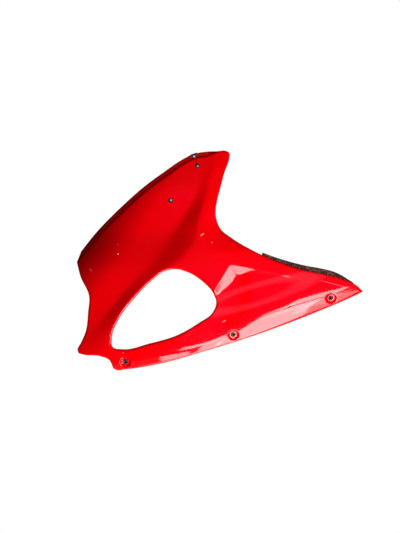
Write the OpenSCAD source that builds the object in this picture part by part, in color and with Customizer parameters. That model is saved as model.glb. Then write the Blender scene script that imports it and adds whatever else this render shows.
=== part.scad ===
// Left side panel of a motorcycle's half fairing.
// One moulded plastic shell with a teardrop air outlet, a recessed flange
// along its front edge and three recessed screw seats along its lower edge.
// It carries a strip of foam seal, five rubber nuts and a clip-on steel nut.
// X runs to the bike's tail, Z runs up, and the painted side faces -Y.
// The origin is the middle of the bore in the middle lower grommet.

/* [Panel] */
// Length along the bike, from the front corner to the rear point
panel_length = 660; // [550:5:800]
// Height from the lower front corner to the upper tip
panel_height = 503; // [415:1:610]
// Thickness of the moulding
wall = 3; // [2.4:0.1:4]
// Radius of the rolled edge round the air outlet
outlet_roll = 6.5; // [5:0.5:9]
// How far the outlet's edge runs inboard past its roll
outlet_lip = 7; // [3:1:14]
// How far the outer edges run inboard past their roll
edge_lip = 9; // [6:0.5:13]
// Distance between the section points along the outline
point_spacing = 13; // [10:1:18]

/* [Shape of the skin] */
// Radius of the long bow of the panel, seen from above
bow_radius_plan = 1400; // [1000:50:2400]
// Radius of the long bow of the panel, seen from the front
bow_radius_front = 1300; // [900:50:2400]
// Radius with which the cheek wraps round to the nose of the bike
wrap_radius = 112; // [108:1:150]
// Slope of the wing between its ridge and its rear edge
wing_slope = 0.25; // [0:0.05:0.4]
// Depth of the hollow under the crease of the fin
hollow_depth = 9; // [4:0.5:14]
// Slope of the hollow's walls
hollow_slope = 0.37; // [0.2:0.01:0.6]
// Angle by which the lower band leans in under the bike
band_angle = 18; // [8:1:24]

/* [Front flange] */
// Width of the flange that the nose fairing covers
flange_width = 9; // [7:0.5:13]
// Depth of the step from the skin to the flange
flange_step = 5.5; // [3:0.5:6]
// Width of the slope between the skin and the flange
flange_slope = 3.5; // [2:0.5:5]
// Radius of the screw hole in the flange
flange_hole_r = 2.8; // [2.6:0.1:3.4]

/* [Screw seats] */
// Radius of the flat floor of a seat
seat_floor_r = 8.8; // [8:0.2:11]
// Radius of a seat where it meets the skin
seat_rim_r = 13.2; // [12:0.2:15]
// Depth of a seat
seat_depth = 5; // [3:0.5:7]
// Radius of the hole that holds a grommet
grommet_hole_r = 4.3; // [3.8:0.1:5]

/* [Grommets] */
// Radius of the threaded bore through a grommet
bore_r = 2.1; // [1.6:0.1:2.6]
// Radius of a grommet's flange on the painted side
grommet_flange_r = 5.6; // [5.2:0.1:7]
// Thickness of that flange
grommet_flange_t = 1.2; // [0.8:0.1:2]
// Radius of the bulge behind the wall that holds a grommet
grommet_bulge_r = 6.4; // [5.6:0.1:8]
// Radius of a grommet's sleeve at its hidden end
grommet_tail_r = 4.8; // [4:0.1:6]
// Length of the sleeve behind the wall
grommet_tail = 10; // [6:0.5:14]
// Room between a grommet and its hole, round its waist
grommet_gap = 0.1; // [0.05:0.05:0.2]
// Room between the wall and a grommet's flange and bulge
grommet_slack = 0.25; // [0.2:0.05:0.5]

/* [Foam seal] */
// Height of the foam at its thickest place
foam_height = 11; // [8:0.5:18]
// Width of the foam, in from the skin's roll
foam_width = 9; // [5:0.5:12]
// Room that the foam's glue takes
foam_gap = 0.1; // [0.05:0.05:0.3]

/* [Clip nut] */
// Length of the clip along the flange
clip_length = 16; // [12:0.5:20]
// Width of the clip's outer leaf, in from the flange's edge
clip_outer_leaf = 8; // [7:0.25:8.5]
// Width of the clip's inner leaf, in from the flange's edge
clip_inner_leaf = 12; // [9:0.5:14]
// Radius of the hole in the clip's outer leaf
clip_hole_r = 3.5; // [3.4:0.1:4]
// Thickness of the clip's steel
clip_steel = 0.7; // [0.5:0.1:1]
// Radius of the clip's threaded hole
thread_r = 2.1; // [1.6:0.1:2.5]
// Radius of the clip's threaded collar
collar_r = 3.6; // [3:0.1:4.5]
// Height of the clip's threaded collar
collar_height = 3.5; // [2:0.5:5]
// Room between the clip and the flange
clip_gap = 0.25; // [0.1:0.05:0.5]

/* [Hidden] */
$fn = 48;

// The drawing is laid out at this length and height, and scaled to the set ones
drawn_length = 660;
drawn_height = 503;
scale_x = panel_length / drawn_length;
scale_z = panel_height / drawn_height;

// Outline, clockwise from the upper tip as the painted side is seen.
// Each point: x, z, 1 at a corner, the outlet point its section starts from,
// the roll radius of the edge, and the share of the front flange there.
outline = [
    [-35, 422.4, 0, 0.45, 5, 0], [-18, 423.4, 0, 0.55, 4, 0], [-9.5, 419, 0, 0.65, 4, 0],
    [-8.5, 407.5, 0, 0.8, 6, 0], [-17, 384, 0, 1.0, 8, 0], [-28, 343, 0, 1.2, 8, 0],
    [-37, 308, 0, 1.4, 8, 0], [-40, 274, 0, 1.6, 8, 0], [-30, 245, 0, 1.9, 8, 0],
    [-2.5, 222, 0, 2.2, 7, 0], [37.5, 198, 0, 2.55, 6, 0], [93, 172, 0, 2.95, 5, 0],
    [151, 152, 0, 3.3, 5, 0], [224, 136, 0, 3.65, 5, 0], [261, 125, 0, 3.85, 5, 0],
    [283, 114.3, 0, 3.95, 4, 0], [298, 100, 1, 4.1, 4, 0], [282, 92, 0, 4.25, 4, 0],
    [186, 51, 0, 4.8, 4, 0], [53, 1, 0, 5.7, 4, 0], [-64, -36, 0, 6.6, 4, 0],
    [-169, -66, 0, 7.9, 4, 0], [-247, -79, 0, 9.0, 4, 0], [-270, -80.5, 0, 9.35, 3, 0],
    [-276.5, -76, 0, 9.5, 3, 0], [-279.5, -68, 0, 9.65, 4, 0], [-284, -59, 0, 9.8, 4, 0],
    [-303, -50, 0, 10.1, 4, 0], [-348, -45, 0, 10.5, 4, 0], [-357, -41.5, 0, 10.65, 3, 0],
    [-359, -34, 0, 10.75, 4, 0], [-352, -20, 0, 10.9, 5, 0], [-341, 5, 0, 11.2, 5, 0],
    [-334.2, 55, 0, 11.9, 5, 0], [-331.8, 87, 0, 12.25, 5, 0], [-353, 136, 0, 12.7, 5, 0],
    [-361.9, 168, 1, 13.0, 4, 0], [-352, 193, 1, 13.2, 4, 1], [-319.5, 233.5, 0, 13.5, 4, 1],
    [-262, 291.5, 0, 14.1, 4, 1], [-196, 348.5, 0, 14.9, 4, 1], [-159, 375, 0, 15.3, 4, 1],
    [-121, 401, 0, 15.7, 4, 1], [-90, 416.3, 0, 16.0, 4, 1], [-59, 421.4, 0, 16.2, 4, 1]];

// Edge of the air outlet, clockwise from its top: x, z
outlet = [[-132, 151.2], [-104.5, 144.2], [-71, 123.4], [-48, 99], [-39.5, 74], [-49.5, 49.8],
    [-77, 29.8], [-128.3, 0.4], [-192, -19], [-257, -32.5], [-276, -28.5], [-279, -5],
    [-262, 38], [-225.4, 86.3], [-184, 128], [-157, 146.5]];

// Shoulder between the low cheek and the raised wing and outlet edge, from the
// lobe up to the tip: z, x, half width of its slope, rise, blend at its ends
shoulder = [[-60, -360, 24, 5, 20], [-46, -345, 24, 6, 20], [-11, -318, 20, 9, 14],
    [23, -292, 16, 13, 10], [57, -269, 12, 15, 7], [92, -242, 11, 14, 6],
    [126, -208, 12, 13, 7], [161, -166, 15, 15, 9], [195, -133, 22, 21, 10],
    [230, -111, 25, 25, 9], [264, -98, 17, 21, 6], [299, -82, 12, 14, 5],
    [333, -70, 9, 6.5, 5], [368, -58, 8, 2.5, 6], [400, -48, 8, 0.5, 6]];

// Crease of the fin, along the top of the hollow: x, z
crease = [[-60, 177], [-4, 163.8], [38, 155.4], [71, 148], [186, 124], [282, 94], [320, 80]];
// Floor of the hollow: x, share of its depth
hollow_floor = [[-60, 0.25], [-20, 0.7], [0, 1], [18, 0.89], [34, 0.5], [50, 0.28], [90, 0.18],
    [200, 0.05], [300, 0]];
// End wall of the hollow: a point on it and the direction into the hollow
hollow_point = [-6.5, 164.3];
hollow_normal = [0.85, -0.527];
hollow_corner = 1.7;
hollow_blend = 1.5;
hollow_fade = 60;
// Line below which the lower band leans in: x, z
band_line = [[-340, -80], [-247, -58], [-160, -42], [-70, -22], [13, 14], [119, 60],
    [218, 92], [320, 120]];
band_blend = 10;

// Middle of the bow of the panel
bow_middle = [20, 150];
// Line at which the cheek starts to wrap: a point on it and its direction
// inboard, and the share of the radius at which the wrap has turned enough
wrap_point = [-125, 368];
wrap_normal = [-0.823, 0.567];
wrap_end = 0.93;
// Heights between which the wing starts to slope
wing_start = 190;
wing_full = 260;
wing_blend = 6;

// Places of the screw seats and of the two upper holes: x, z
seat_front = [-248, -63];
seat_middle = [0, 0];
seat_rear = [224, 84];
hole_rear = [-82, 389];
hole_front = [-144, 309];
// Distance from the middle seat to the lower edge that its cup stays inside
seat_edge_room = 12.5;
lower_edge_angle = 18.5;

// Foam along the outline: outline point and share of the foam's height
foam_profile = [[10.5, 0.45], [11, 0.62], [12, 0.9], [12.6, 1], [13.1, 0.94], [13.6, 0.64],
    [14, 0.3], [14.6, 0.08]];
foam_pieces = 24;
foam_bevel = 0.22;
// Place of the clip nut, as a point of the outline
clip_point = 42.95;

// Rows of a section between its two edges, and how they crowd towards them
middle_rows = 10;
row_crowding = 0.4;
// The least slant at which a section may meet an edge
slant_limit = 0.4;

function unit(v) = v / norm(v);
function mix(a, b, t) = a + (b - a) * t;
function clamp(t) = max(0, min(1, t));
function ease(a, b, t) = let(s = clamp((t - a) / (b - a))) s * s * (3 - 2 * s);
function soft_ramp(t, r) = (t + sqrt(t * t + r * r)) / 2;
function soft_min(a, b, r) = (a + b - sqrt(pow(a - b, 2) + r * r)) / 2;

// Smooth curve through the rows of a table, read at column 0 = t, for column c
function row_at(table, t, i = 0) =
    i >= len(table) - 2 || t < table[i + 1][0] ? i : row_at(table, t, i + 1);
function slope_at(table, i, c) =
    let(a = max(0, i - 1), b = min(len(table) - 1, i + 1))
    (table[b][c] - table[a][c]) / (table[b][0] - table[a][0]);
function look(table, t, c) =
    let(i = row_at(table, t), run = table[i + 1][0] - table[i][0],
        s = clamp((t - table[i][0]) / run), p = table[i][c], q = table[i + 1][c],
        m = slope_at(table, i, c) * run, n = slope_at(table, i + 1, c) * run)
    p * (1 + 2 * s) * (1 - s) * (1 - s) + m * s * (1 - s) * (1 - s)
    + q * s * s * (3 - 2 * s) - n * s * s * (1 - s);

// Closed curve through points, with corners where column 2 is 1
function way(p, i, k) = p[(i + k + len(p)) % len(p)];
function flat(p) = [p[0], p[1]];
function heading(p, i) =
    let(a = flat(way(p, i, 0)) - flat(way(p, i, -1)), b = flat(way(p, i, 1)) - flat(way(p, i, 0)))
    unit(unit(a) * norm(b) + unit(b) * norm(a));
function is_corner(p, i) = way(p, i, 0)[2] == 1;
function on_curve(p, i, s) =
    let(a = flat(way(p, i, 0)), b = flat(way(p, i, 1)), run = norm(b - a),
        m = (is_corner(p, i) ? unit(b - a) : heading(p, i)) * run,
        n = (is_corner(p, i + 1) ? unit(b - a) : heading(p, i + 1)) * run)
    a * (1 + 2 * s) * (1 - s) * (1 - s) + m * s * (1 - s) * (1 - s)
    + b * s * s * (3 - 2 * s) - n * s * s * (1 - s);
function outlet_at(t) = let(i = floor(t)) on_curve(outlet, i, t - i);

// One outline sample: place, outlet place, roll radius and flange share
function outline_at(t) =
    let(i = floor(t), s = t - i, a = way(outline, i, 0), b = way(outline, i, 1),
        lap = i >= len(outline) - 1 ? len(outlet) : 0)
    [on_curve(outline, i, s), outlet_at(mix(a[3], b[3] + lap, s)),
        mix(a[4], b[4], s), mix(a[5], b[5], s)];
stops = [for (i = [0 : len(outline) - 1])
    let(run = norm(flat(way(outline, i, 1)) - flat(outline[i])),
        count = max(1, round(run / point_spacing)))
    for (k = [0 : count - 1]) i + k / count];
around = len(stops);

// Height of the skin towards -Y, as a sum of its forms, on the drawing
function bow(x, z) =
    -pow(x - bow_middle[0], 2) / (2 * bow_radius_plan)
    - pow(z - bow_middle[1], 2) / (2 * bow_radius_front);
function wrap(x, z) =
    let(d = max(0, ([x, z] - wrap_point) * wrap_normal))
    -(wrap_radius - sqrt(pow(wrap_radius, 2) - pow(min(d, wrap_end * wrap_radius), 2)));
function shoulder_lean(z) = (look(shoulder, z + 4, 1) - look(shoulder, z - 4, 1)) / 8;
function raised(x, z) =
    let(q = (x - look(shoulder, z, 1)) / sqrt(1 + pow(shoulder_lean(z), 2)),
        w = look(shoulder, z, 2), r = look(shoulder, z, 4),
        climb = (soft_ramp(q + w, r) - soft_ramp(q - w, r)) / (2 * w))
    look(shoulder, z, 3) * (climb - 1)
    - wing_slope * soft_ramp(q - w, wing_blend) * ease(wing_start, wing_full, z);
function hollow(x, z) =
    let(a = look(crease, x, 1) - z, b = ([x, z] - hollow_point) * hollow_normal,
        floor_z = look(band_line, x, 1),
        deep = hollow_depth * look(hollow_floor, x, 1) * ease(floor_z, floor_z + hollow_fade, z))
    -max(0, soft_min(hollow_slope * soft_min(a, b, hollow_corner), deep, hollow_blend));
function band(x, z) = -tan(band_angle) * soft_ramp(look(band_line, x, 1) - z, band_blend);
function height(x, z) = bow(x, z) + wrap(x, z) + raised(x, z) + hollow(x, z) + band(x, z);

function skin(p) = [p[0] * scale_x, -height(p[0], p[1]), p[1] * scale_z];
function skin_normal(p) =
    let(e = 1, a = skin(p + [e, 0]) - skin(p - [e, 0]), b = skin(p + [0, e]) - skin(p - [0, e]))
    unit(cross(a, b));

// Rows from an edge: distance from it, extra depth, and turn of the wall
function rolled(r, lip) = [[0, r + lip, 90], [0, r, 90], [r * (1 - sin(45)), r * (1 - cos(45)), 45],
    [r, 0, 0]];
function stepped() = [[0, flange_step, 0], [flange_width / 2, flange_step, 0],
    [flange_width, flange_step, 0], [flange_width + flange_slope, 0, 0]];
edge_rows = len(stepped());

// One row point: the outer face and the inner face, a wall apart
function row_point(start, along, out, row) =
    let(side = unit(along), slant = max(slant_limit, -side * out),
        p = start + side * row[0] / slant, n = skin_normal(p),
        face = skin(p) + [0, row[1], 0],
        turn = unit(n * cos(row[2]) + unit([out[0], 0, out[1]]) * sin(row[2])))
    [face, face - turn * wall];

function outward(t) =
    let(e = 0.02, a = outline_at(t - e < 0 ? 0 : t - e)[0], b = outline_at(t + e)[0], d = unit(b - a))
    [-d[1], d[0]];
function outlet_inward(t) =
    let(e = 0.03, w = outline_at(t), a = outline_at(t - e < 0 ? 0 : t - e)[1],
        b = outline_at(t + e)[1], d = unit(b - a))
    [d[1], -d[0]];
function section(t) =
    let(o = outline_at(t), edge = o[0], rim = o[1], across = edge - rim,
        inner = rolled(outlet_roll, outlet_lip), roll = rolled(o[2], edge_lip),
        outer = [for (k = [0 : edge_rows - 1]) mix(roll[k], stepped()[k], o[3])],
        out = outward(t), hole = outlet_inward(t),
        near = inner[edge_rows - 1][0] / max(slant_limit, -unit(across) * hole),
        far = norm(across) - outer[edge_rows - 1][0] / max(slant_limit, unit(across) * out))
    concat(
        [for (k = [0 : edge_rows - 1]) row_point(rim, across, hole, inner[k])],
        [for (k = [1 : middle_rows])
            let(s = k / (middle_rows + 1), f = s - row_crowding * sin(360 * s) / (2 * PI),
                p = rim + unit(across) * mix(near, far, f), face = skin(p))
            [face, face - skin_normal(p) * wall]],
        [for (k = [edge_rows - 1 : -1 : 0]) row_point(edge, -across, out, outer[k])]);

// The closed shell: outer face from the outlet to the outline, inner face back
module shell() {
    sections = [for (t = stops) section(t)];
    rows = len(sections[0]);
    ring = 2 * rows;
    points = [for (s = sections) for (k = [0 : ring - 1]) k < rows ? s[k][0] : s[ring - 1 - k][1]];
    faces = [for (i = [0 : around - 1]) for (k = [0 : ring - 1])
        let(j = (i + 1) % around, m = (k + 1) % ring)
        [i * ring + k, i * ring + m, j * ring + m, j * ring + k]];
    polyhedron(points, faces);
}

// A frame on the skin: its Z axis is the skin's normal, its origin a depth below the face
module on_skin(place, depth) {
    n = skin_normal(place);
    side = unit(cross([0, 0, 1], n));
    up = cross(n, side);
    at = skin(place) - n * depth;
    multmatrix([[side[0], up[0], n[0], at[0]], [side[1], up[1], n[1], at[1]],
        [side[2], up[2], n[2], at[2]], [0, 0, 0, 1]]) children();
}
seat_drop = seat_depth + wall / 2;
// A grommet's bore has its middle this far behind the middle of the wall
bore_middle = (grommet_tail - grommet_flange_t) / 2;
// Everything is moved so that the middle of the middle seat's bore is the origin
datum = skin(seat_middle) - skin_normal(seat_middle) * (seat_drop + bore_middle);
module placed() { translate(-datum) children(); }

// A frame on the flange: Z out of its face, Y towards its edge, origin at its middle
module on_flange(t) {
    out = outward(t);
    middle = outline_at(t)[0] - out * flange_width / 2;
    n = skin_normal(middle);
    edgeward = [out[0], 0, out[1]];
    up = unit(edgeward - n * (edgeward * n));
    side = cross(up, n);
    at = skin(middle) + [0, flange_step, 0];
    multmatrix([[side[0], up[0], n[0], at[0]], [side[1], up[1], n[1], at[1]],
        [side[2], up[2], n[2], at[2]], [0, 0, 0, 1]]) children();
}

// Pressed-in cup of a screw seat, and what is cut out of it
module seat_cup() {
    rotate_extrude()
        polygon([[0, -wall / 2], [seat_floor_r + wall / 2, -wall / 2],
            [seat_rim_r + wall / 2, seat_drop - wall / 2], [0, seat_drop - wall / 2]]);
}
module seat_cut() {
    over = 4;
    slope = (seat_rim_r - seat_floor_r) / seat_depth;
    rotate_extrude()
        polygon([[0, wall / 2], [seat_floor_r, wall / 2],
            [seat_rim_r + slope * over, seat_drop + over], [0, seat_drop + over]]);
    cylinder(r = grommet_hole_r, h = 4 * wall, center = true);
}

module side_panel() {
    color([0.86, 0.02, 0.02])
    placed() difference() {
        union() {
            shell();
            for (p = [seat_front, seat_rear]) on_skin(p, seat_drop) seat_cup();
            on_skin(seat_middle, seat_drop) intersection() {
                seat_cup();
                rotate([0, 0, -lower_edge_angle])
                    translate([-30, -seat_edge_room, -10]) cube([60, 60, 30]);
            }
        }
        for (p = [seat_front, seat_middle, seat_rear]) on_skin(p, seat_drop) seat_cut();
        for (p = [hole_rear, hole_front])
            on_skin(p, wall / 2) cylinder(r = grommet_hole_r, h = 5 * wall, center = true);
        on_flange(clip_point) cylinder(r = flange_hole_r, h = 4 * wall, center = true);
    }
}

// Rubber nut: flange on the painted side, towards +Z, and a sleeve that bulges
// behind the wall and tapers to its hidden end
module grommet() {
    half = wall / 2 + grommet_slack;
    waist = grommet_hole_r - grommet_gap;
    color([0.06, 0.06, 0.06])
    rotate_extrude()
        polygon([[bore_r, -wall / 2 - grommet_tail], [grommet_tail_r, -wall / 2 - grommet_tail],
            [grommet_bulge_r, -half - grommet_tail / 3], [grommet_bulge_r, -half], [waist, -half],
            [waist, half], [grommet_flange_r, half],
            [grommet_flange_r, wall / 2 + grommet_flange_t * 0.6],
            [grommet_flange_r - grommet_flange_t * 0.4, wall / 2 + grommet_flange_t],
            [bore_r, wall / 2 + grommet_flange_t]]);
}
module grommet_lower_front() { placed() on_skin(seat_front, seat_drop) grommet(); }
module grommet_lower_middle() { placed() on_skin(seat_middle, seat_drop) grommet(); }
module grommet_lower_rear() { placed() on_skin(seat_rear, seat_drop) grommet(); }
module grommet_upper_rear() { placed() on_skin(hole_rear, wall / 2) grommet(); }
module grommet_upper_front() { placed() on_skin(hole_front, wall / 2) grommet(); }

// The foam follows the rolled edge of the fin, glued to its inboard lip
module foam_seal() {
    start = foam_profile[0][0];
    end = foam_profile[len(foam_profile) - 1][0];
    rings = [for (k = [0 : foam_pieces])
        let(t = mix(start, end, k / foam_pieces), o = outline_at(t), out = outward(t),
            away = unit([out[0], 0, out[1]]), h = foam_height * look(foam_profile, t, 1),
            base = skin(o[0]) + [0, o[2], 0] + away * foam_gap, bevel = h * foam_bevel,
            inboard = [0, 1, 0])
        [base, base + away * (h - bevel), base + away * h + inboard * bevel,
            base + away * h + inboard * (foam_width - bevel),
            base + away * (h - bevel) + inboard * foam_width, base + inboard * foam_width]];
    sides = len(rings[0]);
    color([0.16, 0.11, 0.10])
    placed() polyhedron([for (r = rings) each r],
        concat([[for (k = [sides - 1 : -1 : 0]) k]],
            [for (i = [0 : foam_pieces - 1]) for (k = [0 : sides - 1])
                [i * sides + k, i * sides + (k + 1) % sides,
                    (i + 1) * sides + (k + 1) % sides, (i + 1) * sides + k]],
            [[for (k = [0 : sides - 1]) foam_pieces * sides + k]]));
}

// Spring steel folded over the flange's edge, with a threaded collar on its inner leaf
module clip_nut() {
    edge = flange_width / 2 + clip_gap;
    low = -wall - clip_gap;
    inner_end = edge - clip_inner_leaf;
    color([0.55, 0.57, 0.55])
    placed() on_flange(clip_point) difference() {
        union() {
            translate([-clip_length / 2, 0, 0]) rotate([90, 0, 90]) linear_extrude(clip_length)
                polygon([[edge - clip_outer_leaf, clip_gap], [edge, clip_gap], [edge, low],
                    [inner_end, low], [inner_end, low - clip_steel], [edge + clip_steel, low - clip_steel],
                    [edge + clip_steel, clip_gap + clip_steel],
                    [edge - clip_outer_leaf, clip_gap + clip_steel]]);
            translate([0, 0, low - clip_steel - collar_height])
                cylinder(r = collar_r, h = collar_height + clip_steel / 2);
        }
        translate([0, 0, low - clip_steel - collar_height - 1])
            cylinder(r = thread_r, h = collar_height + clip_steel + 2);
        cylinder(r = clip_hole_r, h = 4 * clip_steel);
    }
}

side_panel();
grommet_lower_front();
grommet_lower_middle();
grommet_lower_rear();
grommet_upper_rear();
grommet_upper_front();
foam_seal();
clip_nut();
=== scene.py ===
import math

import bmesh
import bpy
from mathutils import Matrix, Vector, noise


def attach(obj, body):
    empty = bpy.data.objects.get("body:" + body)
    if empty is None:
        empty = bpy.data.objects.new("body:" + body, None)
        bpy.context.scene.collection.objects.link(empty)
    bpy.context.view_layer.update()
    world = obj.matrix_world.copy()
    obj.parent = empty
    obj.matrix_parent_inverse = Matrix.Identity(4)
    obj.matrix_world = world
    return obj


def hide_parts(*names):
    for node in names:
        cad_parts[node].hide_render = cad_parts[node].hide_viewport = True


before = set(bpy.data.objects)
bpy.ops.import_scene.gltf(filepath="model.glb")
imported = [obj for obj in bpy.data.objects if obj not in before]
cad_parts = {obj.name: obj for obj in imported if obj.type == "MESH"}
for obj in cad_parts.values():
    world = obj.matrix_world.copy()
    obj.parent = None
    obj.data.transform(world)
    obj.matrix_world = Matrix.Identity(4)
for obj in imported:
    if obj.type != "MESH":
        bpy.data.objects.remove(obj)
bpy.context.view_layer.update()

# Side panel: one moulded plastic shell, sprayed glossy red under clear coat on
# its outer side and left as raw plastic behind. Its skin is a free-form sheet,
# so its points come from the forms that the moulding is drawn with, in mm.
MM = 0.001
WALL = 3.0
OUTLET_ROLL = 6.5
OUTLET_LIP = 7.0
EDGE_LIP = 9.0
BOW_RADIUS_PLAN = 1400.0
BOW_RADIUS_FRONT = 1300.0
BOW_MIDDLE = (20, 150)
WRAP_RADIUS = 112.0
WRAP_END = 0.93
WRAP_POINT = (-125, 368)
WRAP_NORMAL = (-0.823, 0.567)
WING_SLOPE = 0.25
WING_START = 190
WING_FULL = 260
WING_BLEND = 6
HOLLOW_DEPTH = 9.0
HOLLOW_SLOPE = 0.37
HOLLOW_POINT = (-6.5, 164.3)
HOLLOW_NORMAL = (0.85, -0.527)
HOLLOW_CORNER = 1.7
HOLLOW_BLEND = 1.5
HOLLOW_FADE = 60
BAND_SLOPE = math.tan(math.radians(18))
BAND_BLEND = 10
FLANGE_WIDTH = 9.0
FLANGE_STEP = 5.5
FLANGE_SLOPE = 3.5
SLANT_LIMIT = 0.4
SEAT_FLOOR = 8.8
SEAT_RIM = 13.2
SEAT_DEPTH = 5.0
SEAT_FADE = 4.0
SEAT_SOFTNESS = 0.12
HOLE_RADIUS = 4.25

# Outline points: x, z, corner, outlet point, roll radius, share of the flange
OUTLINE = [
    (-35, 422.4, 0, 0.45, 5, 0), (-18, 423.4, 0, 0.55, 4, 0), (-9.5, 419, 0, 0.65, 4, 0),
    (-8.5, 407.5, 0, 0.8, 6, 0), (-17, 384, 0, 1.0, 8, 0), (-28, 343, 0, 1.2, 8, 0),
    (-37, 308, 0, 1.4, 8, 0), (-40, 274, 0, 1.6, 8, 0), (-30, 245, 0, 1.9, 8, 0),
    (-2.5, 222, 0, 2.2, 7, 0), (37.5, 198, 0, 2.55, 6, 0), (93, 172, 0, 2.95, 5, 0),
    (151, 152, 0, 3.3, 5, 0), (224, 136, 0, 3.65, 5, 0), (261, 125, 0, 3.85, 5, 0),
    (283, 114.3, 0, 3.95, 4, 0), (298, 100, 1, 4.1, 4, 0), (282, 92, 0, 4.25, 4, 0),
    (186, 51, 0, 4.8, 4, 0), (53, 1, 0, 5.7, 4, 0), (-64, -36, 0, 6.6, 4, 0),
    (-169, -66, 0, 7.9, 4, 0), (-247, -79, 0, 9.0, 4, 0), (-270, -80.5, 0, 9.35, 3, 0),
    (-276.5, -76, 0, 9.5, 3, 0), (-279.5, -68, 0, 9.65, 4, 0), (-284, -59, 0, 9.8, 4, 0),
    (-303, -50, 0, 10.1, 4, 0), (-348, -45, 0, 10.5, 4, 0), (-357, -41.5, 0, 10.65, 3, 0),
    (-359, -34, 0, 10.75, 4, 0), (-352, -20, 0, 10.9, 5, 0), (-341, 5, 0, 11.2, 5, 0),
    (-334.2, 55, 0, 11.9, 5, 0), (-331.8, 87, 0, 12.25, 5, 0), (-353, 136, 0, 12.7, 5, 0),
    (-361.9, 168, 1, 13.0, 4, 0), (-352, 193, 1, 13.2, 4, 1), (-319.5, 233.5, 0, 13.5, 4, 1),
    (-262, 291.5, 0, 14.1, 4, 1), (-196, 348.5, 0, 14.9, 4, 1), (-159, 375, 0, 15.3, 4, 1),
    (-121, 401, 0, 15.7, 4, 1), (-90, 416.3, 0, 16.0, 4, 1), (-59, 421.4, 0, 16.2, 4, 1)]
OUTLET = [(-132, 151.2, 0), (-104.5, 144.2, 0), (-71, 123.4, 0), (-48, 99, 0), (-39.5, 74, 0),
          (-49.5, 49.8, 0), (-77, 29.8, 0), (-128.3, 0.4, 0), (-192, -19, 0), (-257, -32.5, 0),
          (-276, -28.5, 0), (-279, -5, 0), (-262, 38, 0), (-225.4, 86.3, 0), (-184, 128, 0),
          (-157, 146.5, 0)]

# The shoulder's line: z, x, half width of its slope, rise, softness of its edges
SHOULDER = [(-60, -360, 24, 5, 20), (-46, -345, 24, 6, 20), (-11, -318, 20, 9, 14),
            (23, -292, 16, 13, 10), (57, -269, 12, 15, 7), (92, -242, 11, 14, 6),
            (126, -208, 12, 13, 7), (161, -166, 15, 15, 9), (195, -133, 22, 21, 10),
            (230, -111, 25, 25, 9), (264, -98, 17, 21, 6), (299, -82, 12, 14, 5),
            (333, -70, 9, 6.5, 5), (368, -58, 8, 2.5, 6), (400, -48, 8, 0.5, 6)]

# The crease above the hollow, x and z, and the share of the hollow's depth along x
CREASE = [(-60, 177), (-4, 163.8), (38, 155.4), (71, 148), (186, 124), (282, 94), (320, 80)]
HOLLOW_FLOOR = [(-60, 0.25), (-20, 0.7), (0, 1), (18, 0.89), (34, 0.5), (50, 0.28), (90, 0.18),
                (200, 0.05), (300, 0)]

# The upper edge of the tilted lower band, and the middles of the seats and holes
BAND_LINE = [(-340, -80), (-247, -58), (-160, -42), (-70, -22), (13, 14), (119, 60),
             (218, 92), (320, 120)]
SEATS = {"front": (-248, -63), "middle": (0, 0), "rear": (224, 84)}
HOLES = {"rear": (-82, 389), "front": (-144, 309)}
FLANGE_HOLE = (-90.2, 411.5)
FLANGE_HOLE_RADIUS = 2.8
POINT_SPACING = 3.4
MIDDLE_ROWS = 44
ROW_CROWDING = 0.45
TANGENT_STEP = 0.02
LEAN_STEP = 4


def ease(a, b, t):
    # Goes from 0 at a to 1 at b with soft ends
    s = max(0.0, min(1.0, (t - a) / (b - a)))
    return s * s * (3 - 2 * s)


def soft_ramp(t, r):
    # Nothing below zero and t above it, with a bend of size r between
    return (t + math.sqrt(t * t + r * r)) / 2


def soft_min(a, b, r):
    # The lower of two slopes, with a bend of size r where they cross
    return (a + b - math.sqrt((a - b) ** 2 + r * r)) / 2


def look(table, t, c):
    # Column c of a table at t, on a smooth curve through its rows
    i = 0
    while i < len(table) - 2 and t >= table[i + 1][0]:
        i += 1
    run = table[i + 1][0] - table[i][0]
    s = max(0.0, min(1.0, (t - table[i][0]) / run))
    p, q = table[i][c], table[i + 1][c]
    slopes = []
    for k in (i, i + 1):
        a, b = max(0, k - 1), min(len(table) - 1, k + 1)
        slopes.append((table[b][c] - table[a][c]) / (table[b][0] - table[a][0]) * run)
    return (p * (1 + 2 * s) * (1 - s) ** 2 + slopes[0] * s * (1 - s) ** 2
            + q * s * s * (3 - 2 * s) - slopes[1] * s * s * (1 - s))


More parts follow.
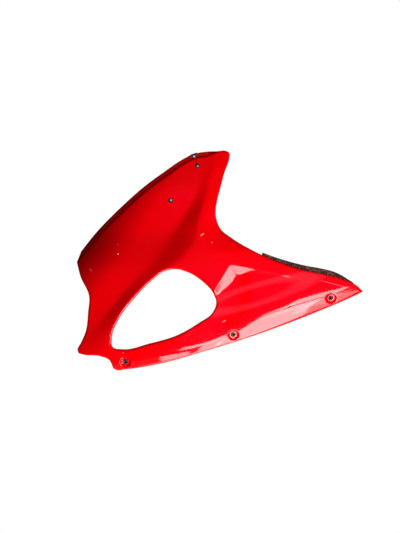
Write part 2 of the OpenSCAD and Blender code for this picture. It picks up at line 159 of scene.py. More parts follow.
def height(x, z):
    # How far the skin stands out at a place: the sum of the panel's forms
    bow = (-(x - BOW_MIDDLE[0]) ** 2 / (2 * BOW_RADIUS_PLAN)
           - (z - BOW_MIDDLE[1]) ** 2 / (2 * BOW_RADIUS_FRONT))

    # The wrap turns the cheek back round the front edge
    d = (x - WRAP_POINT[0]) * WRAP_NORMAL[0] + (z - WRAP_POINT[1]) * WRAP_NORMAL[1]
    d = max(0.0, min(d, WRAP_END * WRAP_RADIUS))
    wrap = math.sqrt(WRAP_RADIUS ** 2 - d * d) - WRAP_RADIUS

    # The wing stands up over the cheek by the shoulder's slope, and falls away behind
    lean = (look(SHOULDER, z + LEAN_STEP, 1) - look(SHOULDER, z - LEAN_STEP, 1)) / (2 * LEAN_STEP)
    q = (x - look(SHOULDER, z, 1)) / math.sqrt(1 + lean * lean)
    w = look(SHOULDER, z, 2)
    r = look(SHOULDER, z, 4)
    climb = (soft_ramp(q + w, r) - soft_ramp(q - w, r)) / (2 * w)
    raised = (look(SHOULDER, z, 3) * (climb - 1)
              - WING_SLOPE * soft_ramp(q - w, WING_BLEND) * ease(WING_START, WING_FULL, z))

    # The hollow is sunk below the crease and behind the outlet's corner
    a = look(CREASE, x, 1) - z
    b = (x - HOLLOW_POINT[0]) * HOLLOW_NORMAL[0] + (z - HOLLOW_POINT[1]) * HOLLOW_NORMAL[1]
    floor_z = look(BAND_LINE, x, 1)
    deep = HOLLOW_DEPTH * look(HOLLOW_FLOOR, x, 1) * ease(floor_z, floor_z + HOLLOW_FADE, z)
    hollow = -max(0.0, soft_min(HOLLOW_SLOPE * soft_min(a, b, HOLLOW_CORNER), deep, HOLLOW_BLEND))

    # The band tilts back below its line
    band = -BAND_SLOPE * soft_ramp(floor_z - z, BAND_BLEND)
    return bow + wrap + raised + hollow + band


def skin(x, z):
    return Vector((x, -height(x, z), z))


def skin_normal(x, z):
    a = skin(x + 1, z) - skin(x - 1, z)
    b = skin(x, z + 1) - skin(x, z - 1)
    return a.cross(b).normalized()


def closed_curve(points, t):
    # A smooth closed curve through points, straight into those marked as corners
    i = math.floor(t)
    s = t - i
    at = [Vector(points[(i + k) % len(points)][:2]) for k in (-1, 0, 1, 2)]
    corner = [points[(i + k) % len(points)][2] == 1 for k in (0, 1)]
    chord = at[2] - at[1]
    ends = []
    for k in (1, 2):
        before, after = at[k] - at[k - 1], at[k + 1] - at[k]
        smooth = before.normalized() * after.length + after.normalized() * before.length
        ends.append((chord if corner[k - 1] else smooth).normalized() * chord.length)
    return (at[1] * (1 + 2 * s) * (1 - s) ** 2 + ends[0] * s * (1 - s) ** 2
            + at[2] * s * s * (3 - 2 * s) - ends[1] * s * s * (1 - s))


def outline_at(t):
    # Place on the outline, its place across on the outlet, roll radius, share of flange
    i = math.floor(t) % len(OUTLINE)
    s = t - math.floor(t)
    a, b = OUTLINE[i], OUTLINE[(i + 1) % len(OUTLINE)]
    lap = len(OUTLET) if i == len(OUTLINE) - 1 else 0
    return (closed_curve(OUTLINE, i + s), closed_curve(OUTLET, a[3] + (b[3] + lap - a[3]) * s),
            a[4] + (b[4] - a[4]) * s, a[5] + (b[5] - a[5]) * s)


def rolled(r, lip):
    # Rows of a rolled edge with its lip: distance, depth, turn of the wall
    rows = [(0, r + lip, 90), (0, r + lip / 2, 90)]
    for turn in (90, 72, 54, 36, 18, 0):
        a = math.radians(turn)
        rows.append((r * (1 - math.sin(a)), r * (1 - math.cos(a)), turn))
    return rows


def stepped():
    # Rows of the flange and of the step up to the skin
    rows = [(0, FLANGE_STEP, 0), (FLANGE_WIDTH / 2, FLANGE_STEP, 0)]
    for share in (0, 0.12, 0.35, 0.65, 0.88, 1):
        drop = FLANGE_STEP * (1 - share)
        rows.append((FLANGE_WIDTH + FLANGE_SLOPE * share, drop, 0))
    return rows


SEAT_DROP = SEAT_DEPTH + WALL / 2
BORE_MIDDLE = 4.4
OVERSPRAY_WIDTH = 30
DATUM = skin(*SEATS["middle"]) - skin_normal(*SEATS["middle"]) * (SEAT_DROP + BORE_MIDDLE)
seat_frames = []
for place in SEATS.values():
    seat_frames.append((skin(*place), skin_normal(*place)))


def seat_dip(point):
    # How far the screw seats press the skin in along their axes
    push = Vector((0, 0, 0))
    for centre, axis in seat_frames:
        away = point - centre
        r = (away - axis * away.dot(axis)).length
        if r < SEAT_RIM + SEAT_FADE:
            t = (SEAT_RIM - r) / (SEAT_RIM - SEAT_FLOOR)
            soft = (math.hypot(t, SEAT_SOFTNESS) - math.hypot(t - 1, SEAT_SOFTNESS) + 1) / 2
            push -= axis * SEAT_DEPTH * soft
    return push


def section_rows(t):
    # One section from the outlet's edge to the outline: place, depth, turn of
    # the wall, direction out of the edge, and distance from the nearest edge
    edge, rim, roll, share = outline_at(t)
    span = (edge - rim).length
    across = (edge - rim).normalized()
    before, after = outline_at(t - TANGENT_STEP), outline_at(t + TANGENT_STEP)
    along_edge = (after[0] - before[0]).normalized()
    out = Vector((-along_edge[1], along_edge[0]))
    along_rim = (after[1] - before[1]).normalized()
    hole = Vector((along_rim[1], -along_rim[0]))
    inner = rolled(OUTLET_ROLL, OUTLET_LIP)
    outer = []
    for a, b in zip(rolled(roll, EDGE_LIP), stepped()):
        outer.append(tuple(a[k] + (b[k] - a[k]) * share for k in range(3)))
    slant_in = max(SLANT_LIMIT, -across.dot(hole))
    slant_out = max(SLANT_LIMIT, across.dot(out))
    rows = []
    for dist, drop, turn in inner:
        rows.append((rim + across * dist / slant_in, drop, turn, hole, dist))
    near = inner[-1][0] / slant_in
    far = span - outer[-1][0] / slant_out
    for k in range(1, MIDDLE_ROWS + 1):
        s = k / (MIDDLE_ROWS + 1)
        f = s - ROW_CROWDING * math.sin(2 * math.pi * s) / (2 * math.pi)
        along = near + (far - near) * f
        rows.append((rim + across * along, 0, 0, out, min(along, span - along)))
    for dist, drop, turn in reversed(outer):
        rows.append((edge - across * dist / slant_out, drop, turn, out, dist))
    return rows


stops = []
for i, start in enumerate(OUTLINE):
    end = OUTLINE[(i + 1) % len(OUTLINE)]
    run = math.hypot(end[0] - start[0], end[1] - start[1])
    count = max(2, round(run / POINT_SPACING))
    stops += [i + k / count for k in range(count)]

sheet = bmesh.new()
lay = {}
for name in ("x", "z", "drop", "turn", "out_x", "out_z", "from_edge"):
    lay[name] = sheet.verts.layers.float.new(name)
grid = []
for t in stops:
    line = []
    for place, drop, turn, out, from_edge in section_rows(t):
        vert = sheet.verts.new((place[0], 0, place[1]))
        vert[lay["x"]], vert[lay["z"]] = place
        vert[lay["drop"]], vert[lay["turn"]] = drop, turn
        vert[lay["out_x"]], vert[lay["out_z"]] = out
        vert[lay["from_edge"]] = from_edge
        line.append(vert)
    grid.append(line)
for i, line in enumerate(grid):
    follow = grid[(i + 1) % len(grid)]
    for k in range(len(line) - 1):
        sheet.faces.new((line[k], line[k + 1], follow[k + 1], follow[k]))

# The sheet gets finer faces where the seats are pressed in and the holes are cut
SEAT_REACHES = (17, 15)
HOLE_REACH = 8
FLANGE_HOLE_REACH = 5


def refine(spots, reach, cuts):
    near = set()
    for face in sheet.faces:
        c = face.calc_center_median()
        if any(math.hypot(c[0] - x, c[2] - z) < reach for x, z in spots):
            near.update(face.edges)
    edges = [edge for edge in sheet.edges if edge in near]
    bmesh.ops.subdivide_edges(sheet, edges=edges, cuts=cuts, use_grid_fill=True)


for reach in SEAT_REACHES:
    refine(SEATS.values(), reach, 1)
for spot in HOLES.values():
    refine([spot], HOLE_REACH, 2)
refine([FLANGE_HOLE], FLANGE_HOLE_REACH, 4)


def wall_points(vert):
    # The two faces of the wall at a point of the sheet
    x, z = vert[lay["x"]], vert[lay["z"]]
    n = skin_normal(x, z)
    face = skin(x, z) + Vector((0, vert[lay["drop"]], 0))
    out = Vector((vert[lay["out_x"]], 0, vert[lay["out_z"]])).normalized()
    a = math.radians(vert[lay["turn"]])
    turn = (n * math.cos(a) + out * math.sin(a)).normalized()
    push = seat_dip(face)
    return face + push, face + push - turn * WALL


panel_mesh = bmesh.new()
overspray = panel_mesh.verts.layers.float.new("overspray")
outer, inner = {}, {}
for vert in sheet.verts:
    front, back = wall_points(vert)
    outer[vert] = panel_mesh.verts.new((front - DATUM) * MM)
    inner[vert] = panel_mesh.verts.new((back - DATUM) * MM)
    inner[vert][overspray] = max(0.0, 1 - vert[lay["from_edge"]] / OVERSPRAY_WIDTH)
    outer[vert][overspray] = 1

# The faces inside the five holes and the flange's hole are left out
BORE_REACH = 12
bores = [(p - n * SEAT_DROP, n, HOLE_RADIUS) for p, n in seat_frames]
bores += [(skin(*p), skin_normal(*p), HOLE_RADIUS) for p in HOLES.values()]
flange_axis = skin_normal(*FLANGE_HOLE)
flange_point = skin(*FLANGE_HOLE) + Vector((0, FLANGE_STEP, 0))
bores.append((flange_point, flange_axis, FLANGE_HOLE_RADIUS))
skip = set()
for axis_point, axis, radius in bores:
    for face in sheet.faces:
        c = sum((outer[v].co for v in face.verts), Vector()) / len(face.verts) / MM + DATUM
        away = c - axis_point
        if abs(away.dot(axis)) < BORE_REACH and (away - axis * away.dot(axis)).length < radius:
            skip.add(face)
for face in sheet.faces:
    if face not in skip:
        panel_mesh.faces.new([outer[v] for v in face.verts])
        raw = panel_mesh.faces.new([inner[v] for v in reversed(face.verts)])
        raw.material_index = 1

# A strip across the wall closes each open edge, round the outline and every hole
for edge in sheet.edges:
    kept = [face for face in edge.link_faces if face not in skip]
    if len(kept) == 1:
        rim_loop = next(loop for loop in kept[0].loops if loop.edge == edge)
        a, b = rim_loop.vert, rim_loop.link_loop_next.vert
        panel_mesh.faces.new((outer[b], outer[a], inner[a], inner[b]))
loose = [v for v in panel_mesh.verts if not v.link_faces]
bmesh.ops.delete(panel_mesh, geom=loose, context="VERTS")
mesh = bpy.data.meshes.new("painted_shell")
panel_mesh.to_mesh(mesh)
panel_mesh.free()
sheet.free()
panel = bpy.data.objects.new("painted_shell", mesh)
bpy.context.collection.objects.link(panel)
for poly in mesh.polygons:
    poly.use_smooth = True


def new_material(name, colour, roughness, metallic=0.0):
    # A material whose even values are set on the shader's own sockets
    material = bpy.data.materials.new(name)
    material.use_nodes = True
    shader = material.node_tree.nodes["Principled BSDF"]
    shader.inputs["Base Color"].default_value = (*colour, 1)
    shader.inputs["Roughness"].default_value = roughness
    shader.inputs["Metallic"].default_value = metallic
    return material, shader


def add_node(material, kind, inputs=None, **settings):
    node = material.node_tree.nodes.new("ShaderNode" + kind)
    for name, value in settings.items():
        setattr(node, name, value)
    for name, value in (inputs or {}).items():
        if isinstance(value, bpy.types.NodeSocket):
            material.node_tree.links.new(value, node.inputs[name])
        else:
            node.inputs[name].default_value = value
    return node


def combine(material, operation, *values):
    return add_node(material, "Math", dict(enumerate(values)), operation=operation).outputs[0]


def object_place(material):
    return add_node(material, "TexCoord").outputs["Object"]


def oval_place(material, place, middle, half, lean):
    # Place in an oval's own measure, 1 at its rim, from its middle, half sizes and lean
    return add_node(material, "Mapping", {
        "Vector": place, "Location": [size * MM for size in middle],
        "Rotation": (0, -math.radians(lean), 0), "Scale": [size * MM for size in half]},
        vector_type="TEXTURE").outputs[0]


def noise_value(material, place, scale, detail=3.0, roughness=0.5):
    return add_node(material, "TexNoise", {"Vector": place, "Scale": scale, "Detail": detail,
                                           "Roughness": roughness}).outputs["Fac"]


def ramp(material, value, start, end, low=0.0, high=1.0):
    return add_node(material, "MapRange", {"Value": value, "From Min": start, "From Max": end,
                                           "To Min": low, "To Max": high}).outputs["Result"]


def mix_colour(material, share, first, second):
    node = add_node(material, "Mix", data_type="RGBA")
    for name, value in ((0, share), (6, first), (7, second)):
        if isinstance(value, bpy.types.NodeSocket):
            material.node_tree.links.new(value, node.inputs[name])
        else:
            node.inputs[name].default_value = value
    return node.outputs[2]


def bump(material, shader, height, strength, distance, sockets=("Normal",)):
    node = add_node(material, "Bump", {"Height": height, "Strength": strength, "Distance": distance})
    for name in sockets:
        material.node_tree.links.new(node.outputs["Normal"], shader.inputs[name])


paint, shader = new_material("red_clear_coat", (0.80, 0.0, 0.002), 0.4)
shader.inputs["Specular IOR Level"].default_value = 0.0
shader.inputs["Coat Weight"].default_value = 1.0
shader.inputs["Coat Roughness"].default_value = 0.07
shader.inputs["Coat IOR"].default_value = 1.66
place = object_place(paint)
cloud = noise_value(paint, place, 6.0, 4.0)
RED_LIGHT = (0.84, 0.0, 0.003, 1)
RED_DEEP = (0.76, 0.0, 0.0015, 1)
colour = mix_colour(paint, ramp(paint, cloud, 0.35, 0.65), RED_LIGHT, RED_DEEP)

# Painted sheen: pale pink streaks painted in a long oval round the middle of the fin
PAINTED_SHEEN = (0.80, 0.013, 0.024, 1)
OVAL_MIDDLE = (48.7, 0, 88.1)
OVAL_HALF = (131, 1000, 20.7)
OVAL_LEAN = 17
oval = oval_place(paint, place, OVAL_MIDDLE, OVAL_HALF, OVAL_LEAN)
reach = add_node(paint, "VectorMath", {0: oval}, operation="LENGTH").outputs["Value"]
off_line = combine(paint, "ABSOLUTE", combine(paint, "SUBTRACT", reach, 1.0))
streaks = add_node(paint, "Mapping", {"Vector": oval, "Scale": (0.8, 0.8, 3.0)}).outputs[0]
streaks = ramp(paint, noise_value(paint, streaks, 1.0, 2.0), 0.3, 0.6, 0.35, 1.0)
sheen_share = combine(paint, "MULTIPLY", ramp(paint, off_line, 0.42, 0.10), streaks)
colour = mix_colour(paint, sheen_share, colour, PAINTED_SHEEN)

# Chips and scratches in the clear coat, with two painted highlights, each at its own place
# on the shell: x and z of its middle, its length, its width, its lean in degrees, its colour
WORN_WHITE = (0.80, 0.66, 0.62, 1)
# Pink serves the chips and one painted highlight, the spot at x -20.3, z 28.3
PINK_WEAR_AND_HIGHLIGHT = (0.85, 0.22, 0.24, 1)
WORN_DARK = (0.30, 0.0, 0.01, 1)
# A long pink line on the fin's crease: a painted highlight
PAINTED_CREASE_HIGHLIGHT = (0.82, 0.07, 0.09, 1)
MARKS = [(-70.2, 226.8, 12.0, 1.5, 38, WORN_WHITE), (-263.6, 182.4, 3.6, 2.8, 60, WORN_WHITE),
         (-327.5, 146.5, 11.0, 1.4, -48, PINK_WEAR_AND_HIGHLIGHT), (-343.9, 191.9, 3.6, 3.0, 50, PINK_WEAR_AND_HIGHLIGHT),
         (-48.0, 208.4, 4.5, 1.8, 70, PINK_WEAR_AND_HIGHLIGHT), (-251.9, -44.8, 4.5, 1.2, 20, PINK_WEAR_AND_HIGHLIGHT),
         (-20.3, 28.3, 11.0, 2.2, 30, PINK_WEAR_AND_HIGHLIGHT), (-265.0, 204.0, 3.0, 1.6, 80, PINK_WEAR_AND_HIGHLIGHT),
         (-120.0, 250.0, 5.0, 1.4, 10, WORN_DARK), (-196.0, 256.0, 3.5, 1.4, -20, WORN_DARK),
         (235.0, 112.5, 80.0, 1.8, -15, PAINTED_CREASE_HIGHLIGHT)]
MARK_DEPTH = 300
MARK_Y = 30
TORN_EDGE = 1.2
ragged = add_node(paint, "TexNoise", {"Vector": place, "Scale": 900.0, "Detail": 2.0}).outputs["Color"]
ragged = add_node(paint, "VectorMath", {0: ragged, 1: (0.5, 0.5, 0.5)}, operation="SUBTRACT").outputs[0]
torn = add_node(paint, "VectorMath", {0: ragged, 1: [TORN_EDGE * MM] * 3, 2: place},
                operation="MULTIPLY_ADD").outputs[0]
# Share of every mark, the painted highlights too; it dents the clear coat's bump
chips_and_highlights = 0.0
for x, z, length, width, lean, tint in MARKS:
    spot = oval_place(paint, torn, (x, MARK_Y, z), (length / 2, MARK_DEPTH / 2, width / 2), lean)
    far = add_node(paint, "VectorMath", {0: spot}, operation="LENGTH").outputs["Value"]
    share = ramp(paint, far, 1.1, 0.7)
    colour = mix_colour(paint, share, colour, tint)
    chips_and_highlights = combine(paint, "MAXIMUM", chips_and_highlights, share)
paint.node_tree.links.new(colour, shader.inputs["Base Color"])
ripple = noise_value(paint, place, 160.0, 2.0)
hairline = add_node(paint, "Mapping", {"Vector": place, "Rotation": (0.2, 0.5, 0.3),
                                       "Scale": (40.0, 40.0, 1400.0)}).outputs[0]
scuff = ramp(paint, noise_value(paint, hairline, 1.0, 2.0), 0.66, 0.74)
uneven = combine(paint, "MULTIPLY_ADD", scuff, -0.08, ripple)
uneven = combine(paint, "MULTIPLY_ADD", chips_and_highlights, -0.6, uneven)
bump(paint, shader, uneven, 0.3, 0.00006, ("Normal", "Coat Normal"))
mesh.materials.append(paint)

# Raw inner face: grained black plastic, with red overspray round its edges
raw_plastic, shader = new_material("raw_black_plastic", (0.02, 0.02, 0.02), 0.55)
place = object_place(raw_plastic)
grain = noise_value(raw_plastic, place, 1100.0, 2.0)
cloud = noise_value(raw_plastic, place, 25.0, 4.0)
black = mix_colour(raw_plastic, ramp(raw_plastic, cloud, 0.3, 0.7), (0.016, 0.016, 0.017, 1),
                   (0.035, 0.034, 0.033, 1))
spray = add_node(raw_plastic, "Attribute", attribute_name="overspray").outputs["Fac"]
dusty = combine(raw_plastic, "MULTIPLY_ADD", noise_value(raw_plastic, place, 300.0, 3.0), 0.7, spray)
black = mix_colour(raw_plastic, ramp(raw_plastic, dusty, 0.62, 1.2), black, (0.45, 0.0, 0.002, 1))
raw_plastic.node_tree.links.new(black, shader.inputs["Base Color"])
raw_plastic.node_tree.links.new(ramp(raw_plastic, grain, 0.2, 0.8, 0.45, 0.7), shader.inputs["Roughness"])
bump(raw_plastic, shader, grain, 0.6, 0.0002)
mesh.materials.append(raw_plastic)

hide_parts("side_panel")
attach(panel, "root")

# Rubber nuts: five moulded rubber sleeves pushed into the screw seats and the
# two upper holes, each with a threaded steel insert bonded into its bore, into
# which a 5 mm screw goes.
BORE_R = 2.1
NUT_FLANGE_R = 5.6
NUT_FLANGE_T = 1.2
NUT_BULGE_R = 6.4
NUT_TAIL_R = 4.8
NUT_TAIL = 10.0
NUT_LEAD = 0.6
NUT_LEAD_LENGTH = 2.2
NUT_BEVEL = 0.5
NUT_HEAD_BEVEL = 0.48
NUT_WAIST_R = 4.2
NUT_SLACK = 0.25
NUT_SIDES = 48
SLEEVE_EDGE = 0.18
INSERT_R = 3.1
INSERT_GAP = 0.02
INSERT_SUNK = 0.15
INSERT_EDGE = 0.1
THREAD_PITCH = 0.8
THREAD_DEPTH = 0.3
THREAD_START = 0.2
THREAD_STEPS = 24
THREAD_ROOT_R = BORE_R + THREAD_DEPTH
WELD = 0.01
SMOOTH_ANGLE = 35

rubber, shader = new_material("black_rubber", (0.022, 0.022, 0.022), 0.6)
shader.inputs["Specular IOR Level"].default_value = 0.2
place = object_place(rubber)
bloom = noise_value(rubber, place, 220.0, 4.0)
tone = mix_colour(rubber, ramp(rubber, bloom, 0.35, 0.7), (0.010, 0.010, 0.011, 1),
                  (0.032, 0.032, 0.031, 1))
rubber.node_tree.links.new(tone, shader.inputs["Base Color"])
rubber.node_tree.links.new(ramp(rubber, bloom, 0.3, 0.7, 0.5, 0.75), shader.inputs["Roughness"])
bump(rubber, shader, noise_value(rubber, place, 900.0, 2.0), 0.4, 0.0002)


def tarnished_steel(name, bright, dull, metallic=1.0):
    # Plated steel gone dull in patches, between two colours
    metal, shader = new_material(name, bright, 0.5, metallic)
    place = object_place(metal)
    tarnish = noise_value(metal, place, 350.0, 5.0, 0.6)
    tone = mix_colour(metal, ramp(metal, tarnish, 0.35, 0.65), (*bright, 1), (*dull, 1))
    metal.node_tree.links.new(tone, shader.inputs["Base Color"])
    metal.node_tree.links.new(ramp(metal, tarnish, 0.3, 0.7, 0.38, 0.65), shader.inputs["Roughness"])
    bump(metal, shader, tarnish, 0.3, 0.0001)
    return metal


insert_steel = tarnished_steel("insert_steel", (0.13, 0.16, 0.13), (0.06, 0.07, 0.06))


def turned(name, rows):
    # A ring of rows, each a radius and a place along Z, drawn out one by one
    # from a circle and closed on itself
    bpy.ops.object.select_all(action="DESELECT")
    radius, start = rows[0]
    bpy.ops.mesh.primitive_circle_add(vertices=NUT_SIDES, radius=radius * MM, location=(0, 0, start * MM))
    piece = bpy.context.object
    piece.name = name
    bpy.ops.object.transform_apply(location=True)
    bpy.ops.object.mode_set(mode="EDIT")
    bpy.ops.mesh.select_all(action="SELECT")
    for (r, z), (next_r, next_z) in zip(rows, rows[1:] + rows[:1]):
        bpy.ops.mesh.extrude_region_move(TRANSFORM_OT_translate={"value": (0, 0, (next_z - z) * MM)})
        share = next_r / r
        bpy.ops.transform.resize(value=(share, share, 1), center_override=(0, 0, 0))
    bpy.ops.mesh.select_all(action="SELECT")
    bpy.ops.mesh.remove_doubles(threshold=WELD * MM)
    bpy.ops.mesh.normals_make_consistent(inside=False)
    bpy.ops.object.mode_set(mode="OBJECT")
    return piece


def rounded(piece, width, segments, angle=30):
    edge = piece.modifiers.new("soft_edges", "BEVEL")
    edge.width = width * MM
    edge.segments = segments
    edge.limit_method = "ANGLE"
    edge.angle_limit = math.radians(angle)
    bpy.ops.object.modifier_apply(modifier="soft_edges")
    bpy.ops.object.shade_smooth_by_angle(angle=math.radians(SMOOTH_ANGLE))


half_wall = WALL / 2 + NUT_SLACK
tail_z = -WALL / 2 - NUT_TAIL
head_z = WALL / 2 + NUT_FLANGE_T
sleeve = turned("rubber_sleeve", [
    (INSERT_R, tail_z), (NUT_TAIL_R, tail_z), (NUT_TAIL_R + NUT_LEAD, tail_z + NUT_LEAD_LENGTH),
    (NUT_BULGE_R, -half_wall - NUT_TAIL / 3), (NUT_BULGE_R, -half_wall - NUT_BEVEL),
    (NUT_BULGE_R - NUT_BEVEL, -half_wall), (NUT_WAIST_R, -half_wall), (NUT_WAIST_R, half_wall),
    (NUT_FLANGE_R, half_wall), (NUT_FLANGE_R, head_z - NUT_HEAD_BEVEL),
    (NUT_FLANGE_R - NUT_HEAD_BEVEL, head_z), (INSERT_R, head_z)])
rounded(sleeve, SLEEVE_EDGE, 2)
sleeve.data.materials.append(rubber)
insert = turned("thread_insert", [
    (THREAD_ROOT_R, tail_z), (INSERT_R - INSERT_GAP, tail_z),
    (INSERT_R - INSERT_GAP, head_z - INSERT_SUNK), (THREAD_ROOT_R, head_z - INSERT_SUNK)])
rounded(insert, INSERT_EDGE, 2)
insert.data.materials.append(insert_steel)

# The thread is one ridge wound up the bore by a screw modifier
bpy.ops.object.select_all(action="DESELECT")
turns = int((head_z - tail_z) / THREAD_PITCH) - 1
start_z = tail_z + THREAD_START
ridge_mesh = bpy.data.meshes.new("thread_ridge")
ridge_mesh.from_pydata([(THREAD_ROOT_R * MM, 0, start_z * MM),
                        (BORE_R * MM, 0, (start_z + THREAD_PITCH / 2) * MM),
                        (THREAD_ROOT_R * MM, 0, (start_z + THREAD_PITCH) * MM)],
                       [(0, 1), (1, 2)], [])
ridge = bpy.data.objects.new("thread_ridge", ridge_mesh)
bpy.context.collection.objects.link(ridge)
bpy.context.view_layer.objects.active = ridge
ridge.select_set(True)
wind = ridge.modifiers.new("wind", "SCREW")
wind.angle = math.radians(360)
wind.screw_offset = THREAD_PITCH * MM
wind.iterations = turns - 1
wind.steps = THREAD_STEPS
wind.render_steps = THREAD_STEPS
wind.use_merge_vertices = True
wind.merge_threshold = WELD * MM
bpy.ops.object.modifier_apply(modifier="wind")
for poly in ridge.data.polygons:
    middle = poly.center
    if poly.normal.x * middle.x + poly.normal.y * middle.y > 0:
        poly.flip()
ridge.data.materials.append(insert_steel)

bpy.ops.object.select_all(action="DESELECT")
for piece in (insert, ridge, sleeve):
    piece.select_set(True)
bpy.context.view_layer.objects.active = sleeve
bpy.ops.object.join()
nut = sleeve


def skin_frame(centre, axis, drop):
    # The nut's own frame: Z out of the painted face, at the middle of the wall
    side = Vector((0, 0, 1)).cross(axis).normalized()
    up = axis.cross(side)
    at = (centre - axis * drop - DATUM) * MM
    turn = [[side[k], up[k], axis[k], at[k]] for k in range(3)]
    return turn + [[0, 0, 0, 1]]


NUT_PLACES = [("grommet_lower_front", SEATS["front"], SEAT_DROP),
              ("grommet_lower_middle", SEATS["middle"], SEAT_DROP),
              ("grommet_lower_rear", SEATS["rear"], SEAT_DROP),
              ("grommet_upper_rear", HOLES["rear"], WALL / 2),
              ("grommet_upper_front", HOLES["front"], WALL / 2)]
for name, spot, drop in NUT_PLACES:
    one_nut = bpy.data.objects.new(name.replace("grommet", "nut"), nut.data.copy())
    bpy.context.collection.objects.link(one_nut)
    one_nut.data.transform(Matrix(skin_frame(skin(*spot), skin_normal(*spot), drop)))
    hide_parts(name)
    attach(one_nut, "root")
bpy.data.objects.remove(nut)

# Foam seal: a strip of coarse open-cell foam glued along the fin's rolled edge,
# cut from sheet, so its cells lie open on every face.
FOAM_VOXEL = 0.7
CELL = 2.4
CELL_DEPTH = 0.8
CELL_SHARPNESS = 1.6
GRAIN = 0.9
GRAIN_DEPTH = 0.12
SWELL = 0.5
bpy.ops.object.select_all(action="DESELECT")
foam = bpy.data.objects.new("foam_strip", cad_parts["foam_seal"].data.copy())
bpy.context.collection.objects.link(foam)
bpy.context.view_layer.objects.active = foam
foam.select_set(True)
foam.data.materials.clear()
bpy.ops.object.mode_set(mode="EDIT")
bpy.ops.mesh.select_all(action="SELECT")
bpy.ops.mesh.remove_doubles(threshold=WELD * MM)
bpy.ops.object.mode_set(mode="OBJECT")
foam.data.remesh_voxel_size = FOAM_VOXEL * MM
bpy.ops.object.voxel_remesh()
soften = foam.modifiers.new("soften", "SMOOTH")
soften.iterations = 3
bpy.ops.object.modifier_apply(modifier="soften")
before = [(vert.co.copy(), vert.normal.copy()) for vert in foam.data.vertices]
for vert, (co, normal) in zip(foam.data.vertices, before):
    middle_away = noise.voronoi(co / (CELL * MM))[0][0]
    pit = max(0.0, 1 - middle_away * CELL_SHARPNESS)
    rough = noise.noise(co / (GRAIN * MM))
    vert.co = co - normal * (CELL_DEPTH * pit + GRAIN_DEPTH * rough - SWELL) * MM
bpy.ops.object.shade_smooth()

foam_cells, shader = new_material("open_cell_foam", (0.03, 0.015, 0.013), 0.95)
shader.inputs["Specular IOR Level"].default_value = 0.15
place = object_place(foam_cells)
cells = add_node(foam_cells, "TexVoronoi", {"Vector": place, "Scale": 1 / (CELL * MM), "Randomness": 1.0})
# Each cell darker in its middle: painted shade in the open pores, lighter strands between
strand = ramp(foam_cells, cells.outputs["Distance"], 0.2, 0.7)
tone = mix_colour(foam_cells, strand, (0.009, 0.0032, 0.0026, 1), (0.060, 0.021, 0.017, 1))
clump = noise_value(foam_cells, place, 330.0, 3.0, 0.6)
tone = mix_colour(foam_cells, ramp(foam_cells, clump, 0.51, 0.62), tone, (0.24, 0.105, 0.092, 1))
shade = ramp(foam_cells, noise_value(foam_cells, place, 60.0, 3.0), 0.4, 0.65, 0.0, 0.6)
tone = mix_colour(foam_cells, shade, tone, (0.020, 0.006, 0.005, 1))
foam_cells.node_tree.links.new(tone, shader.inputs["Base Color"])
bump(foam_cells, shader, cells.outputs["Distance"], 0.7, 0.0006)
foam.data.materials.append(foam_cells)
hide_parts("foam_seal")
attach(foam, "root")

# Clip nut: spring steel folded over the front flange near the tip, its collar
# drawn out and threaded. Its corners are broken by the tumbling after plating,
# and its outer hole is drawn in, so that the leaf covers the flange's hole.
CLIP_HOLE_RADIUS = 3.5
CLIP_HOLE_SEEN = 2.6
HOLE_TOLERANCE = 0.1
FLAT_ANGLE = 2
CLIP_EDGE = 0.15
bpy.ops.object.select_all(action="DESELECT")
clip = bpy.data.objects.new("folded_clip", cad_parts["clip_nut"].data.copy())
bpy.context.collection.objects.link(clip)
bpy.context.view_layer.objects.active = clip
clip.select_set(True)
clip.data.materials.clear()
for vert in clip.data.vertices:
    away = vert.co / MM + DATUM - flange_point
    along = flange_axis * away.dot(flange_axis)
    if away.dot(flange_axis) > 0 and abs((away - along).length - CLIP_HOLE_RADIUS) < HOLE_TOLERANCE:
        share = CLIP_HOLE_SEEN / (away - along).length
        vert.co = (flange_point + along + (away - along) * share - DATUM) * MM
bpy.ops.object.mode_set(mode="EDIT")
bpy.ops.mesh.select_all(action="SELECT")
bpy.ops.mesh.remove_doubles(threshold=WELD * MM)
bpy.ops.mesh.dissolve_limited(angle_limit=math.radians(FLAT_ANGLE))
bpy.ops.object.mode_set(mode="OBJECT")
rounded(clip, CLIP_EDGE, 2, 40)
clip_steel = tarnished_steel("clip_spring_steel", (0.17, 0.14, 0.12), (0.09, 0.07, 0.06), 0.55)
clip.data.materials.append(clip_steel)
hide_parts("clip_nut")
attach(clip, "root")

# Studio: a pale floor well below the panel, soft boxes, and a far camera that
# frames the panel as the photo does, with the middle screw seat at its place
CAMERA_DISTANCE = 8.0
SENSOR_WIDTH = 36
PIXEL = 2.3 * MM
PHOTO_WIDTH_PX = 400
PHOTO_HEIGHT_PX = 533
SEAT_X_PX = 233.3
SEAT_Y_PX = 335
VIEW_CENTRE = ((PHOTO_WIDTH_PX / 2 - SEAT_X_PX) * PIXEL - DATUM[0] * MM,
               (SEAT_Y_PX - PHOTO_HEIGHT_PX / 2) * PIXEL - DATUM[2] * MM)
FRAME_DEPTH = 0.03
FLOOR_SIZE = 3
FLOOR_Z = -1.6
bpy.ops.object.select_all(action="DESELECT")
bpy.ops.mesh.primitive_plane_add(size=FLOOR_SIZE, location=(0, 0, FLOOR_Z))
floor = bpy.context.object
floor.name = "floor"
floor_mat = bpy.data.materials.new("floor")
floor_mat.use_nodes = True
floor_mat.node_tree.nodes["Principled BSDF"].inputs["Base Color"].default_value = (0.8, 0.8, 0.8, 1)
floor_mat.node_tree.nodes["Principled BSDF"].inputs["Roughness"].default_value = 0.8
floor.data.materials.append(floor_mat)

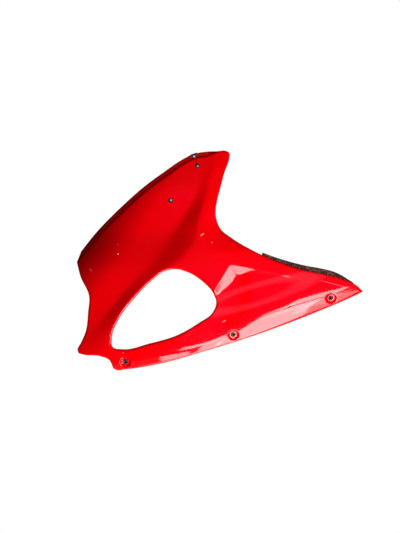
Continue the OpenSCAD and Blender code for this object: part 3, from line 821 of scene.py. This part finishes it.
camera_data = bpy.data.cameras.new("camera")
camera = bpy.data.objects.new("camera", camera_data)
bpy.context.collection.objects.link(camera)
camera.location = (VIEW_CENTRE[0], FRAME_DEPTH - CAMERA_DISTANCE, VIEW_CENTRE[1])
camera.rotation_euler = (math.radians(90), 0, 0)
camera_data.sensor_width = SENSOR_WIDTH
camera_data.lens = SENSOR_WIDTH * CAMERA_DISTANCE / (PHOTO_HEIGHT_PX * PIXEL)
camera_data.clip_end = 100
bpy.context.scene.camera = camera
LAMP_DISTANCE = 1.5
LAMP_AIM = (0.08, 0.01, 0.05)


def softbox(name, side, lift, width, height, radiance, mirrored=True):
    # A far rectangular soft box: degrees to the right of and above the way to
    # the camera, its angular size in degrees, and how bright its face is
    u, v = math.radians(side), math.radians(lift)
    way = Vector((math.sin(u) * math.cos(v), -math.cos(u) * math.cos(v), math.sin(v)))
    data = bpy.data.lights.new(name, "AREA")
    data.shape = "RECTANGLE"
    data.size = 2 * LAMP_DISTANCE * math.tan(math.radians(width / 2))
    data.size_y = 2 * LAMP_DISTANCE * math.tan(math.radians(height / 2))
    data.energy = radiance * math.pi * data.size * data.size_y
    box = bpy.data.objects.new(name, data)
    bpy.context.collection.objects.link(box)
    box.location = Vector(LAMP_AIM) + way * LAMP_DISTANCE
    box.rotation_euler = (-way).to_track_quat("-Z", "Y").to_euler()
    box.visible_glossy = mirrored


softbox("low_box", 20, -43, 19, 36, 6.9)
softbox("left_box", -0.5, -49, 11, 26, 6.2)
softbox("middle_box", 11.8, -21, 10, 14, 4.2)
softbox("side_box", 28, -28, 17, 16, 1.7)
softbox("wall_box", 23, -14.5, 16, 12, 6.6)
softbox("far_box", 36, -33, 12, 14, 2.6)
softbox("small_box", -20, -49, 8, 7, 5.2)
softbox("crease_box", -7.5, -33, 18, 10, 5.9)
softbox("under_box", 18, -78, 34, 28, 5.0)
softbox("right_box", 53, 8, 32, 42, 4.8, mirrored=False)
softbox("front_box", -5, -18, 20, 16, 6.5, mirrored=False)
softbox("left_fill", -20, 15, 24, 24, 2.0, mirrored=False)

# The room is white straight behind the panel, and to a mirror it is nearly dark
# with a faint blue glow in its lower half
GLOW_BLUE = (0.01, 0.015, 0.13, 1)
world = bpy.data.worlds.new("studio")
world.use_nodes = True
bpy.context.scene.world = world
world.node_tree.nodes.clear()
sight = add_node(world, "LightPath").outputs
way = add_node(world, "TexCoord").outputs["Generated"]
part_way = add_node(world, "SeparateXYZ", {0: way}).outputs
mirrored = combine(world, "MAXIMUM", sight["Is Glossy Ray"], sight["Is Transmission Ray"])
behind = combine(world, "MULTIPLY", ramp(world, part_way["Y"], 0.5, 1.0), mirrored)
behind = combine(world, "MULTIPLY", ramp(world, part_way["X"], -0.1, 0.3), behind)
white_share = combine(world, "MAXIMUM", sight["Is Camera Ray"], behind)
glow = mix_colour(world, ramp(world, part_way["Z"], 0.09, -0.02), (0, 0, 0, 1), GLOW_BLUE)
glow = mix_colour(world, ramp(world, part_way["X"], -0.30, -0.1), (0, 0, 0, 1), glow)
room_colour = mix_colour(world, mirrored, (0.05, 0.05, 0.05, 1), glow)
room = add_node(world, "Background", {"Color": room_colour}).outputs[0]
white = add_node(world, "Background", {"Color": (1, 1, 1, 1)}).outputs[0]
blend = add_node(world, "MixShader", {0: white_share, 1: room, 2: white}).outputs[0]
out = world.node_tree.nodes.new("ShaderNodeOutputWorld")
world.node_tree.links.new(blend, out.inputs[0])

bpy.context.scene.view_settings.view_transform = "Standard"
